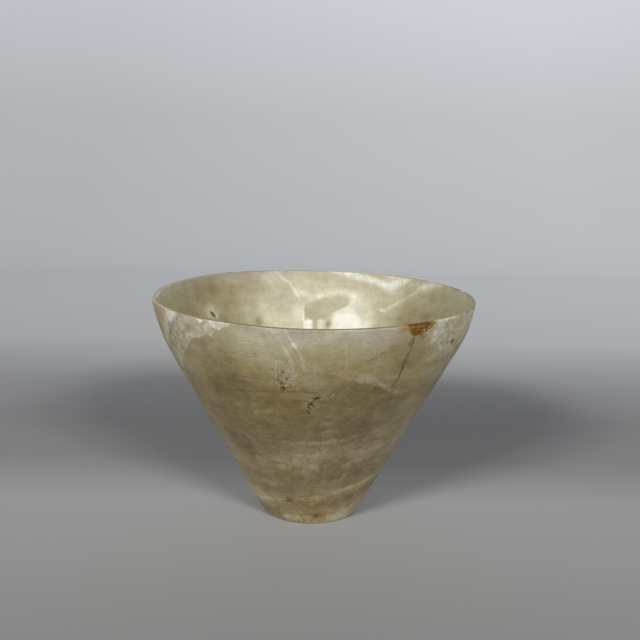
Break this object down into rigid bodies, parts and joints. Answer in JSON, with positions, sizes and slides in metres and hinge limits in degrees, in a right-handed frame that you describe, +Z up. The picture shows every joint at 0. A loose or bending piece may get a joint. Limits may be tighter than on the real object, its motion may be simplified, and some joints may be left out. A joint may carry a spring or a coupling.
{
  "type": "stone cup",
  "caption": "Conical carved stone cup with a small flat foot, a thin flaring rim, a resin fill in a rim chip and a resin-filled crack below it.",
  "frame": {"origin": "middle of the flat foot, on the surface that the cup stands on", "axes": "+Z up along the cup's axis; -Y is the front, where the pictured face is; +X to the right of the front, the side of the rim fill"},
  "size_m": [0.116, 0.116, 0.0807],
  "materials": {
    "calcite": "Polished translucent banded calcite, pale grey-green near the thin rim and honey brown lower down, with whitish veins, crystals and small pits",
    "amber_resin": "Hard amber restoration resin, glossy and slightly translucent, orange-brown turning olive-yellow to the right",
    "crack_resin": "Thin dark brown resin seam, level with the stone"
  },
  "bodies": {
    "root": {"stone_body": "calcite", "rim_fill": "amber_resin", "crack_resin": "crack_resin"}
  },
  "joints": []
}
